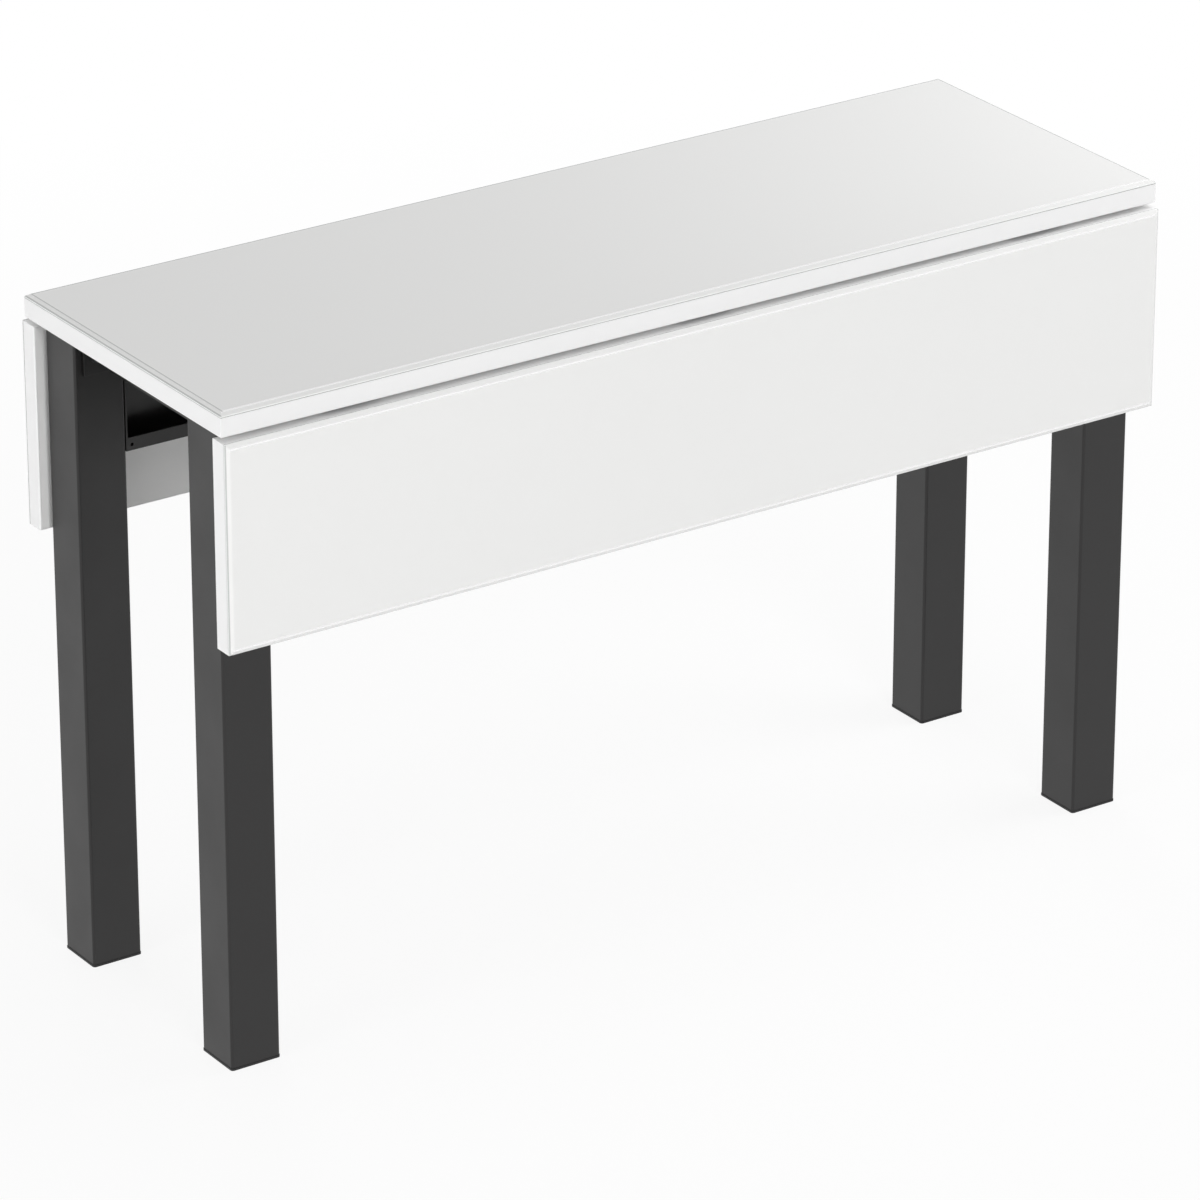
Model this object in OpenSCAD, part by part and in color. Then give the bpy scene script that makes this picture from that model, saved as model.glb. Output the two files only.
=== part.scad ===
// Drop-leaf table: a fixed centre top between two leaves, each a laminated board under a glass plate.
// Origin on the floor under the middle of the top. X runs along the table, -Y is the front, Z is up.
// The leaves are drawn hanging; leaf_lift turns both of them up with their folding brackets.

/* [Top] */
// Length of the centre top and of both leaves
top_len = 1200; // [1100:10:1400]
// Width of the fixed centre top
top_w = 400; // [380:10:500]
// Height of the glass surface above the floor
table_h = 765; // [700:5:800]
// Thickness of the laminated boards
board_t = 22; // [20:1:24]
// Thickness of the edge banding round each board
band_t = 2; // [1.5:0.5:3]
// Chamfer along the lower edge of the banding
band_chamfer = 1; // [0.8:0.1:1.4]
// Thickness of the glass plates
glass_t = 5; // [4:1:6]
// Width of the polished bevel round each glass plate
bevel_w = 5; // [3:0.5:8]
// Upright edge left under the bevel
bevel_land = 2; // [1:0.5:3]

/* [Leaves] */
// Width of each leaf
leaf_w = 235; // [230:5:300]
// Gap between a raised leaf and the centre top
leaf_gap = 3; // [3:0.5:5]
// Drop from the underside of the centre board to the top edge of a hanging leaf
hang_drop = 5; // [5:0.5:7]
// How far the glass of a hanging leaf stands out from the front of the centre top
leaf_proud = 9; // [8:0.5:11]
// Angle that both leaves are drawn at: 0 hangs, 90 is level with the top
leaf_lift = 0; // [0:5:90]

/* [Legs and feet] */
// Side of the square leg tube
leg_side = 60; // [50:5:65]
// Wall of the leg tube
leg_wall = 2; // [1.5:0.5:3]
// Outer corner radius of the leg tube
leg_round = 3; // [2:0.5:5]
// Inset of the legs from the ends of the top
leg_end_inset = 10; // [5:5:40]
// Inset of the legs from the long edges of the top
leg_side_inset = 25; // [24:1:32]
// Thickness of the plastic cap under each leg
cap_h = 2.5; // [2:0.5:6]
// How far the cap stands out round the tube
cap_lip = 0.5; // [0.5:0.5:2]
// Height of the cap's plug inside the tube
cap_plug_h = 18; // [12:2:30]
// Thickness of the plate welded on top of each leg
leg_plate_t = 3; // [2:0.5:5]
// Length of the leg plate that reaches inboard of the tube
leg_plate_reach = 50; // [40:5:60]

/* [Aprons and end rails] */
// Height of the folded steel aprons
apron_h = 141; // [130:1:160]
// Depth of the aprons, from lip to web
apron_d = 30; // [26:1:32]
// Thickness of the folded sheet
sheet_t = 2; // [1.5:0.5:2.5]
// Height of the lip folded up along the bottom
lip_h = 15; // [10:1:20]
// Radius of the hanging holes in the lip
lip_hole_r = 2; // [1.5:0.5:3]
// Height of the end rail tubes
end_rail_h = 40; // [30:5:50]
// Width of the end rail tubes
end_rail_w = 20; // [15:5:25]
// Wall of the end rail tubes
end_rail_wall = 1.5; // [1.5:0.5:2.5]
// Thickness of the plates welded to the ends of the end rails
end_plate_t = 3; // [2:0.5:4]

/* [Hinges] */
// Distance of the outer hinges from the middle of the table
hinge_spacing = 440; // [380:10:460]
// Width of each hinge
hinge_w = 60; // [50:2:70]
// Thickness of the hinge plates
hinge_t = 2.5; // [2:0.5:3]
// Radius of the hinge knuckles
knuckle_r = 5; // [4.5:0.5:5.5]
// Radius of the hinge pin
pin_r = 2.5; // [2:0.5:3]
// Width of the leaf's knuckle
leaf_knuckle_w = 28; // [20:2:34]
// Length of the hinge plate screwed under a leaf
leaf_plate_len = 45; // [40:1:60]
// Length of the hinge plate screwed under the centre board
top_plate_len = 30; // [27:1:30]

/* [Folding brackets] */
// Distance of the folding brackets from the middle of the table
bracket_spacing = 300; // [200:10:340]
// Distance along the leaf from the hinge axis to the strut's pivot
strut_reach = 80; // [70:2:84]
// Length of the strut between its pivot and its foot stud
strut_len = 125; // [122:1:130]
// Width of the strut
strut_w = 16; // [14:1:18]
// Sheet thickness of the strut
strut_wall = 2; // [1.5:0.5:2.5]
// Distance from the leaf's underside to the strut's pivot
pivot_standoff = 13; // [12:0.5:14]
// Distance inboard from the hinge axis to the foot stud, leaf down and leaf up
foot_inset = 30; // [28:1:32]
// Radius of the pivot pin
pivot_r = 3; // [2.5:0.5:3.5]
// Radius of the foot stud
stud_r = 3.5; // [3:0.5:4]
// Inner width of the guide channel
guide_inner_w = 28; // [27:1:34]
// Sheet thickness of the guide channel
guide_t = 2; // [1.5:0.5:2.5]
// Depth of the notch that holds the foot stud when the leaf is up
notch_d = 4; // [3:0.5:5]

/* [Screws, bolts and buffers] */
// Radius of the wood screws' shanks
screw_r = 2; // [1.5:0.25:2.25]
// Radius of the wood screws' heads
screw_head_r = 3.8; // [3.5:0.1:4.2]
// Length of the wood screws
screw_len = 15; // [12:1:17]
// Radius of the frame bolts
bolt_r = 3; // [2.5:0.5:4]
// Radius of the bolts that hold the guide channels
guide_bolt_r = 2.5; // [2:0.5:3]
// Radius of the rubber buffers on the leaves
buffer_r = 8; // [6:1:10]
// Distance along the leaf from the hinge axis to the buffers
buffer_reach = 150; // [120:5:200]

/* [Hidden] */
$fn = 48;
running_gap = 0.05;
fit_gap = 0.1;
seat_gap = 0.3;
nudge = 1;

total_t = board_t + glass_t;
board_z = table_h - total_t;
glass_z = table_h - glass_t;

// Hinge axis: as far inboard and below the top as makes the leaf hang leaf_proud out and hang_drop down
axis_in = (total_t + hang_drop - leaf_gap - leaf_proud) / 2;
axis_up = (total_t - hang_drop + leaf_gap - leaf_proud) / 2;
axis_y = top_w / 2 - axis_in;
axis_z = board_z + axis_up;
edge_v = axis_in + leaf_gap;

leg_x = top_len / 2 - leg_end_inset - leg_side / 2;
leg_y = top_w / 2 - leg_side_inset - leg_side / 2;
leg_inner_x = leg_x - leg_side / 2;
leg_inner_y = leg_y - leg_side / 2;
leg_outer_y = leg_y + leg_side / 2;
leg_top_z = board_z - leg_plate_t;

// Apron: the lip is flush with the inner faces of the legs, the web faces the leaf
apron_len = 2 * leg_inner_x;
web_out_y = leg_inner_y + apron_d;
apron_z = board_z - apron_h;
apron_bolt_y = leg_inner_y + apron_d / 2;
apron_bolt_drops = [35, 105];
apron_screw_xs = [-360, -120, 120, 360];
lip_hole_in = 7;
lip_hole_z = lip_h * 0.45;

rail_x = leg_inner_x + end_rail_w / 2;
rail_z = leg_top_z - end_rail_h;
end_plate_w = leg_side - 10;
end_plate_x = leg_inner_x + end_plate_w / 2;
rail_bolt_x = leg_inner_x + end_plate_w - 14;
rail_bolt_z = leg_top_z - end_rail_h / 2;

nut_r = 1.9 * bolt_r;
nut_t = 5;
bolt_head_t = 4;
leg_screw_x = leg_x + 10;
leg_screw_in = 15;
leg_screw_end = 12;
leg_screw_ys = [leg_inner_y - leg_screw_in, leg_inner_y - leg_plate_reach + leg_screw_end];

// Hinge: the leaf's tongue runs a little below the centre board and turns up into its knuckle
tongue_step = 0.4;
neck_t = hinge_t;
knuckle_gap = 0.5;
top_plate_v = axis_up + hinge_t + tongue_step + 1.6;
pocket_gap = 1;
pin_head_t = 1.2;
pocket_w = hinge_w + 2 * (pin_head_t + 1.8);
hinge_xs = [-hinge_spacing, 0, hinge_spacing];
hinge_screw_x = hinge_w / 2 - 9;
top_screw_vs = [top_plate_v + 8, top_plate_v + top_plate_len - 7];
leaf_screw_vs = [-edge_v - 12, -edge_v - leaf_plate_len + 12];
sink_t = 2;

// Folding bracket, in the plane across the table: [inboard of the hinge axis, above the hinge axis]
pivot_in = axis_up + pivot_standoff;
lean_down = asin((foot_inset - pivot_in) / strut_len);
lean_up = asin((foot_inset + strut_reach) / strut_len);
function pivot_at(lift) = [pivot_in * cos(lift) - strut_reach * sin(lift),
                           -strut_reach * cos(lift) - pivot_in * sin(lift)];
function lean_at(lift) = lean_down + (lean_up - lean_down) * lift / 90;
function foot_at(lift) = pivot_at(lift) + strut_len * [sin(lean_at(lift)), -cos(lean_at(lift))];
function foot_way(lift) = foot_at(lift + 1) - foot_at(lift - 1);
function foot_normal(lift) = [-foot_way(lift)[1], foot_way(lift)[0]] / norm(foot_way(lift));
slot_hw = stud_r + seat_gap;
slot_end_r = slot_hw + 2 * fit_gap;
slot_step = 5;
// Below this lift the foot stud hardly moves: it sinks a little and comes up again
slot_turn = 10;

bracket_xs = [-bracket_spacing, bracket_spacing];
guide_back = axis_y - web_out_y;
guide_front = axis_up + 6;
guide_top = foot_at(90)[1] + 14;
guide_bottom = foot_at(0)[1] - 10;
guide_w = guide_inner_w + 2 * guide_t;
guide_bolt_in = 14;
guide_bolt_pitch = 46;
guide_bolt_drops = [guide_top - guide_bolt_in, guide_top - guide_bolt_in - guide_bolt_pitch];
guide_corner_r = 6;
guide_nut_r = 4.5;
guide_nut_t = 4;
guide_head_t = 1.8;

ear_t = 2;
ear_gap = 0.5;
ear_out = strut_w / 2 + ear_gap + ear_t;
ear_r = pivot_r + 4;
ear_base = [40, 44];
ear_base_t = 2;
ear_screws = [15, 16];
rivet_t = 1.5;
sleeve_r = stud_r + 2;
stud_head_r = stud_r + 2.5;
stud_head_t = 2;

buffer_h = leg_side_inset - axis_in - axis_up - seat_gap;

// Places

// Rear pieces are the front ones turned half round
module at_rear() rotate([0, 0, 180]) children();

// The hinge axis of the front leaf, with the leaf's own frame as it lies when raised
module at_front_axis() translate([0, -axis_y, axis_z]) children();
module on_front_leaf() at_front_axis() rotate([90 - leaf_lift, 0, 0]) children();

// A corner of the frame, from its signs
module at_leg(sx, sy) translate([sx * leg_x, sy * leg_y, 0]) children();

// Shared shapes

// A slab whose four edges follow one profile of [inset, height] steps, with mitred corners
module edged_slab(l, w, edge) {
    intersection() {
        rotate([90, 0, 0]) linear_extrude(w, center = true) slab_profile(l, edge);
        rotate([90, 0, 90]) linear_extrude(l, center = true) slab_profile(w, edge);
    }
}

module slab_profile(size, edge) {
    last = len(edge) - 1;
    polygon(concat([for (p = edge) [size / 2 - p[0], p[1]]],
                   [for (i = [last:-1:0]) [edge[i][0] - size / 2, edge[i][1]]]));
}

module rounded_square(size, r) {
    square([size - 2 * r, size], center = true);
    square([size, size - 2 * r], center = true);
    for (sx = [-1, 1], sy = [-1, 1]) translate([sx, sy] * (size / 2 - r)) circle(r);
}

module x_cylinder(r, x0, x1, facets = 48) {
    translate([x0, 0, 0]) rotate([0, 90, 0]) cylinder(r = r, h = x1 - x0, $fn = facets);
}

// A countersunk wood screw, head at z = 0 and pointing up
module sunk_screw(gap = 0) {
    rotate_extrude() polygon([[0, 0], [screw_head_r + gap, 0], [screw_r + gap, sink_t],
                              [screw_r + gap, screw_len - 2 + gap], [0, screw_len + gap]]);
}

// A pan-headed wood screw whose head hangs below z = 0
module pan_screw(gap = 0) {
    rotate_extrude() polygon([[0, -1.8], [screw_head_r - 1, -1.8], [screw_head_r, -0.8],
                              [screw_head_r, 0], [screw_r + gap, 0],
                              [screw_r + gap, screw_len - 2 + gap], [0, screw_len + gap]]);
}

module pilot_hole() translate([0, 0, -nudge])
    cylinder(r = screw_r + fit_gap, h = screw_len + seat_gap + nudge);

// Boards, edge bands and glass

module board_core(w) translate([0, 0, 0])
    linear_extrude(board_t) square([top_len - 2 * band_t, w - 2 * band_t], center = true);

module band_ring(w) difference() {
    edged_slab(top_len, w, [[band_chamfer, 0], [0, band_chamfer], [0, board_t]]);
    translate([0, 0, -nudge]) linear_extrude(board_t + 2 * nudge)
        square([top_len - 2 * band_t, w - 2 * band_t], center = true);
}

module glass_plate(w)
    edged_slab(top_len, w, [[0, 0], [0, bevel_land], [bevel_w, glass_t]]);

module centre_board() color("whitesmoke") difference() {
    translate([0, 0, board_z]) board_core(top_w);
    each_top_screw() pilot_hole();
    for (x = hinge_xs) {
        hinge_pocket(x);
        at_rear() hinge_pocket(x);
    }
    each_hinge_top_screw() pilot_hole();
}

module hinge_pocket(x) at_front_axis()
    translate([x - pocket_w / 2, -knuckle_r - pocket_gap, -axis_up - nudge])
        cube([pocket_w, knuckle_r + pocket_gap + top_plate_v, axis_up + knuckle_r + pocket_gap + nudge]);

module centre_edge_band() color("white") translate([0, 0, board_z]) band_ring(top_w);

module centre_glass() color("gainsboro") translate([0, 0, glass_z]) glass_plate(top_w);

// The leaf's board, band and glass stand on its underside, with the inner edge edge_v from the axis
module on_leaf_slab() translate([0, -edge_v - leaf_w / 2, -axis_up]) children();

module leaf_board() color("whitesmoke") difference() {
    on_leaf_slab() board_core(leaf_w);
    each_leaf_screw() pilot_hole();
}

module leaf_band() color("white") on_leaf_slab() band_ring(leaf_w);

module leaf_glass() color("gainsboro") on_leaf_slab() translate([0, 0, board_t]) glass_plate(leaf_w);

// Legs, plates and feet

module leg(sx, sy) color("dimgray") at_leg(sx, sy) difference() {
    translate([0, 0, cap_h]) linear_extrude(leg_top_z - cap_h) difference() {
        rounded_square(leg_side, leg_round);
        rounded_square(leg_side - 2 * leg_wall, max(0.5, leg_round - leg_wall));
    }
    translate([-sx * leg_x, -sy * leg_y, 0]) each_leg_bolt(sx, sy)
        x_cylinder(bolt_r + fit_gap, -nudge, leg_wall + nudge);
}

module foot_cap(sx, sy) color("#1c1c1c") at_leg(sx, sy) {
    plug = leg_side - 2 * leg_wall - 2 * seat_gap;
    linear_extrude(cap_h) rounded_square(leg_side + 2 * cap_lip, leg_round + cap_lip);
    translate([0, 0, cap_h]) linear_extrude(cap_plug_h) {
        difference() {
            square(plug, center = true);
            square(plug - 4, center = true);
        }
        square([plug - 1, 2], center = true);
        square([2, plug - 1], center = true);
    }
}

// The plate covers the tube's end and reaches inboard along Y
module leg_plate(sx, sy) color("dimgray") difference() {
    translate([sx * leg_x, sy * (leg_y - leg_plate_reach / 2), leg_top_z + leg_plate_t / 2])
        cube([leg_side, leg_side + leg_plate_reach, leg_plate_t], center = true);
    for (y = leg_screw_ys) translate([sx * leg_screw_x, sy * y, leg_top_z]) {
        sunk_screw(fit_gap);
        translate([0, 0, -nudge]) cylinder(r = screw_head_r + fit_gap, h = nudge);
    }
}

// Aprons and end rails

// Folded sheet: web towards the leaf, flanges inwards, a lip along the bottom and a tab at each end
module front_apron() color("dimgray") difference() {
    translate([0, -web_out_y, 0]) {
        translate([-apron_len / 2, 0, apron_z]) cube([apron_len, sheet_t, apron_h]);
        translate([-apron_len / 2, 0, board_z - sheet_t]) cube([apron_len, apron_d, sheet_t]);
        translate([-apron_len / 2, 0, apron_z]) cube([apron_len, apron_d, sheet_t]);
        translate([-apron_len / 2, apron_d - sheet_t, apron_z]) cube([apron_len, sheet_t, lip_h]);
        for (s = [-1, 1]) translate([s * (apron_len - sheet_t) / 2, apron_d / 2, apron_z + apron_h / 2])
            cube([sheet_t, apron_d, apron_h], center = true);
    }
    for (sx = [-1, 1]) {
        each_apron_bolt(sx, -1) x_cylinder(bolt_r + fit_gap, -2 * sheet_t, nudge);
        translate([sx * (leg_inner_x - lip_hole_in), -leg_inner_y, apron_z + lip_hole_z])
            rotate([90, 0, 0]) cylinder(r = lip_hole_r, h = 2 * sheet_t, center = true);
    }
    for (x = apron_screw_xs) translate([x, -apron_bolt_y, board_z - 2 * sheet_t])
        cylinder(r = screw_r + fit_gap, h = 3 * sheet_t);
    at_front_axis() each_guide_bolt() translate([0, 0, -guide_t - 2 * sheet_t])
        cylinder(r = guide_bolt_r + fit_gap, h = guide_t + 4 * sheet_t);
}

module end_rail(sx) color("dimgray") difference() {
    plate_y = leg_inner_y - end_plate_t / 2;
    union() {
        translate([sx * rail_x, 0, rail_z + end_rail_h / 2])
            cube([end_rail_w, 2 * leg_inner_y - end_plate_t, end_rail_h], center = true);
        for (sy = [-1, 1]) translate([sx * end_plate_x, sy * plate_y, rail_z + end_rail_h / 2])
            cube([end_plate_w, end_plate_t, end_rail_h], center = true);
    }
    translate([sx * rail_x, 0, rail_z + end_rail_h / 2])
        cube([end_rail_w - 2 * end_rail_wall, 2 * (leg_inner_y - end_plate_t),
              end_rail_h - 2 * end_rail_wall], center = true);
    for (sy = [-1, 1]) each_rail_bolt(sx, sy) x_cylinder(bolt_r + fit_gap, -2 * end_plate_t, nudge);
}

// Each bolt place puts x = 0 on the leg's inner face, with +X into the tube
module each_apron_bolt(sx, sy) {
    for (drop = apron_bolt_drops)
        translate([sx * leg_inner_x, sy * apron_bolt_y, board_z - drop])
            rotate([0, 0, sx > 0 ? 0 : 180]) children();
}

module each_rail_bolt(sx, sy) {
    translate([sx * rail_bolt_x, sy * leg_inner_y, rail_bolt_z]) rotate([0, 0, sy * 90]) children();
}

module each_leg_bolt(sx, sy) {
    each_apron_bolt(sx, sy) children();
    each_rail_bolt(sx, sy) children();
}

module frame_bolts() color("silver") for (sx = [-1, 1], sy = [-1, 1]) {
    each_apron_bolt(sx, sy) hex_bolt(sheet_t);
    each_rail_bolt(sx, sy) hex_bolt(end_plate_t);
}

module hex_bolt(grip) {
    x_cylinder(bolt_r, -grip - nudge, leg_wall + nut_t + 2);
    x_cylinder(nut_r, -grip - bolt_head_t, -grip, 6);
}

module frame_weld_nuts() color("silver") for (sx = [-1, 1], sy = [-1, 1])
    each_leg_bolt(sx, sy) difference() {
        x_cylinder(nut_r, leg_wall, leg_wall + nut_t, 6);
        x_cylinder(bolt_r + running_gap, leg_wall - nudge, leg_wall + nut_t + nudge);
    }

// Screws that hold the frame under the centre board

module each_leg_plate_screw() for (sx = [-1, 1], sy = [-1, 1], y = leg_screw_ys)
    translate([sx * leg_screw_x, sy * y, leg_top_z]) children();

module each_apron_screw() for (x = apron_screw_xs, sy = [-1, 1])
    translate([x, sy * apron_bolt_y, board_z - sheet_t]) children();

module each_top_screw() {
    each_leg_plate_screw() children();
    each_apron_screw() children();
}

module top_fixing_screws() color("silver") {
    each_leg_plate_screw() sunk_screw();
    each_apron_screw() pan_screw();
}

// Hinges

module each_hinge_top_screw() {
    front_hinge_top_screw_places() children();
    at_rear() front_hinge_top_screw_places() children();
}

module front_hinge_top_screw_places() at_front_axis()
    for (x = hinge_xs, s = [-1, 1], v = top_screw_vs)
        translate([x + s * hinge_screw_x, v, -axis_up - hinge_t]) children();

module hinge_top_screws() color("silver") each_hinge_top_screw() sunk_screw();

// Screwed under the centre board: two arms reach out to the outer knuckles
module hinge_top_plate() difference() {
    side_w = (hinge_w - leaf_knuckle_w) / 2 - knuckle_gap;
    union() {
        translate([-hinge_w / 2, top_plate_v, -axis_up - hinge_t])
            cube([hinge_w, top_plate_len, hinge_t]);
        for (x = [-hinge_w / 2, hinge_w / 2 - side_w]) {
            translate([x, -neck_t / 2, -axis_up - hinge_t])
                cube([side_w, top_plate_v + neck_t / 2 + nudge, hinge_t]);
            translate([x, -neck_t / 2, -axis_up - hinge_t]) cube([side_w, neck_t, axis_up]);
            x_cylinder(knuckle_r, x, x + side_w);
        }
    }
    x_cylinder(pin_r + running_gap, -hinge_w, hinge_w);
    for (s = [-1, 1], v = top_screw_vs) translate([s * hinge_screw_x, v, -axis_up - hinge_t])
        sunk_screw(fit_gap);
}

// Screwed under the leaf: a tongue runs in to the middle knuckle and clears the centre board
module hinge_leaf_plate() difference() {
    tongue_z = -axis_up - hinge_t - tongue_step;
    union() {
        translate([-hinge_w / 2, -edge_v - leaf_plate_len, -axis_up - hinge_t])
            cube([hinge_w, leaf_plate_len, hinge_t]);
        translate([-leaf_knuckle_w / 2, -edge_v - 2 * hinge_t, tongue_z])
            cube([leaf_knuckle_w, edge_v + 2 * hinge_t + neck_t / 2, hinge_t]);
        translate([-leaf_knuckle_w / 2, -neck_t / 2, tongue_z])
            cube([leaf_knuckle_w, neck_t, -tongue_z - knuckle_r + nudge]);
        x_cylinder(knuckle_r, -leaf_knuckle_w / 2, leaf_knuckle_w / 2);
    }
    x_cylinder(pin_r + running_gap, -hinge_w, hinge_w);
    for (s = [-1, 1], v = leaf_screw_vs) translate([s * hinge_screw_x, v, -axis_up - hinge_t])
        sunk_screw(fit_gap);
}

module hinge_pin() {
    x_cylinder(pin_r, -hinge_w / 2 - seat_gap - pin_head_t, hinge_w / 2 + seat_gap + pin_head_t);
    for (s = [-1, 1]) translate([s * (hinge_w / 2 + seat_gap + pin_head_t / 2), 0, 0])
        x_cylinder(pin_r + 1.5, -pin_head_t / 2, pin_head_t / 2);
}

module front_hinge_top_plates() color("silver") at_front_axis()
    for (x = hinge_xs) translate([x, 0, 0]) hinge_top_plate();

module front_hinge_leaf_plates() color("silver") on_front_leaf()
    for (x = hinge_xs) translate([x, 0, 0]) hinge_leaf_plate();

module front_hinge_pins() color("gray") at_front_axis()
    for (x = hinge_xs) translate([x, 0, 0]) hinge_pin();

// Screw places on a leaf's underside, in the leaf's own frame

module each_leaf_screw() {
    for (x = hinge_xs, s = [-1, 1], v = leaf_screw_vs)
        translate([x + s * hinge_screw_x, v, -axis_up - hinge_t]) children();
    for (x = bracket_xs, sx = [-1, 1], sv = [-1, 1])
        translate([x + sx * ear_screws[0], -strut_reach + sv * ear_screws[1], -axis_up - ear_base_t])
            children();
}

module front_leaf_screws() color("silver") on_front_leaf() each_leaf_screw() sunk_screw();

// Folding brackets

// The way of the foot stud, widened to a slot, with the notch that holds a raised leaf
module foot_slot() {
    polygon(concat([for (a = [slot_turn:slot_step:90]) foot_at(a) + slot_hw * foot_normal(a)],
                   [for (a = [90:-slot_step:slot_turn]) foot_at(a) - slot_hw * foot_normal(a)]));
    for (a = [0, slot_turn]) translate(foot_at(a)) circle(slot_end_r);
    translate(foot_at(90)) {
        circle(slot_end_r);
        translate([0, -slot_hw]) square([notch_d, 2 * slot_hw]);
        translate([notch_d, 0]) circle(slot_end_r);
    }
}

// Side view of a guide channel, with its two front corners rounded
module guide_side() {
    r = guide_corner_r;
    difference() {
        union() {
            translate([guide_front + r, guide_bottom])
                square([guide_back - guide_front - r, guide_top - guide_bottom]);
            translate([guide_front, guide_bottom + r])
                square([guide_back - guide_front, guide_top - guide_bottom - 2 * r]);
            for (z = [guide_bottom + r, guide_top - r]) translate([guide_front + r, z]) circle(r);
        }
        foot_slot();
    }
}

// Stands a drawing made across the table, [inboard, up], on edge and centred on X
module across(w) rotate([90, 0, 90]) translate([0, 0, -w / 2]) linear_extrude(w) children();

module guide_channel(x) color("silver") at_front_axis() translate([x, 0, 0]) difference() {
    across(guide_w) guide_side();
    translate([-guide_inner_w / 2, guide_front - nudge, guide_bottom - nudge])
        cube([guide_inner_w, guide_back - guide_front - guide_t + nudge,
              guide_top - guide_bottom + 2 * nudge]);
    for (z = guide_bolt_drops) translate([0, guide_back, z]) rotate([-90, 0, 0])
        cylinder(r = guide_bolt_r + fit_gap, h = 3 * guide_t, center = true);
}

// Bolt places with z = 0 on the outer face of the apron's web and +Z inboard
module each_guide_bolt() for (x = bracket_xs, z = guide_bolt_drops)
    translate([x, guide_back, z]) rotate([-90, 0, 0]) children();

module guide_bolt() {
    translate([0, 0, -guide_t - guide_head_t]) cylinder(r = guide_bolt_r + 1.8, h = guide_head_t);
    translate([0, 0, -guide_t - guide_head_t / 2])
        cylinder(r = guide_bolt_r, h = guide_t + guide_head_t / 2 + sheet_t + guide_nut_t + nudge);
    translate([0, 0, sheet_t]) cylinder(r = guide_nut_r, h = guide_nut_t, $fn = 6);
}

module front_guide_bolts() at_front_axis() each_guide_bolt() guide_bolt();

module guide_channel_bolts() color("silver") {
    front_guide_bolts();
    at_rear() front_guide_bolts();
}

// Two ears on a base plate under the leaf carry the strut's pivot
module leaf_bracket(x) color("silver") on_front_leaf()
    translate([x, -strut_reach, -axis_up]) difference() {
        union() {
            translate([0, 0, -ear_base_t / 2])
                cube([ear_base[0], ear_base[1], ear_base_t], center = true);
            for (s = [-1, 1]) translate([s * (ear_out - ear_t / 2), 0, 0]) across(ear_t) {
                translate([-ear_r, -pivot_standoff]) square([2 * ear_r, pivot_standoff - ear_base_t / 2]);
                translate([0, -pivot_standoff]) circle(ear_r);
            }
        }
        translate([0, 0, -pivot_standoff]) x_cylinder(pivot_r + running_gap, -2 * ear_out, 2 * ear_out);
        for (sx = [-1, 1], sv = [-1, 1])
            translate([sx * ear_screws[0], sv * ear_screws[1], -ear_base_t]) sunk_screw(fit_gap);
    }

// The strut's own frame: pivot at the origin, foot stud straight below
module at_strut(x) at_front_axis() translate([x, pivot_at(leaf_lift)[0], pivot_at(leaf_lift)[1]])
    rotate([lean_at(leaf_lift), 0, 0]) children();

// Pressed U section, open towards the leaf, with round ends
module strut(x) color("lightslategray") at_strut(x) difference() {
    r = strut_w / 2;
    across(strut_w) {
        translate([-r, -strut_len]) square([strut_w, strut_len]);
        circle(r);
        translate([0, -strut_len]) circle(r);
    }
    translate([-r + strut_wall, -strut_w, -strut_len - strut_w])
        cube([strut_w - 2 * strut_wall, strut_w + r - strut_wall, strut_len + 2 * strut_w]);
    x_cylinder(pivot_r + running_gap, -strut_w, strut_w);
    translate([0, 0, -strut_len]) x_cylinder(stud_r + running_gap, -strut_w, strut_w);
}

module strut_pins(x) color("gray") at_strut(x) {
    x_cylinder(pivot_r, -ear_out - seat_gap - rivet_t, ear_out + seat_gap + rivet_t);
    for (s = [-1, 1]) translate([s * (ear_out + seat_gap + rivet_t / 2), 0, 0])
        x_cylinder(pivot_r + 1.5, -rivet_t / 2, rivet_t / 2);
    translate([0, 0, -strut_len]) {
        half = guide_w / 2 + seat_gap + stud_head_t;
        sleeve = guide_inner_w / 2 - strut_w / 2 - seat_gap;
        x_cylinder(stud_r, -half, half);
        for (s = [-1, 1]) {
            translate([s * (half - stud_head_t / 2), 0, 0])
                x_cylinder(stud_head_r, -stud_head_t / 2, stud_head_t / 2);
            translate([s * (strut_w + sleeve) / 2, 0, 0]) x_cylinder(sleeve_r, -sleeve / 2, sleeve / 2);
        }
    }
}

// Rubber buffers under the leaf, which meet the legs when it hangs
module front_leaf_buffers() color("#222222") on_front_leaf()
    for (s = [-1, 1]) translate([s * leg_x, -buffer_reach, -axis_up]) mirror([0, 0, 1])
        rotate_extrude() polygon([[0, 0], [buffer_r, 0], [buffer_r - 1, buffer_h - 1.5],
                                  [buffer_r - 2.5, buffer_h], [0, buffer_h]]);

module front_leaf_board() on_front_leaf() leaf_board();
module front_leaf_edge_band() on_front_leaf() leaf_band();
module front_leaf_glass() on_front_leaf() leaf_glass();

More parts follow.
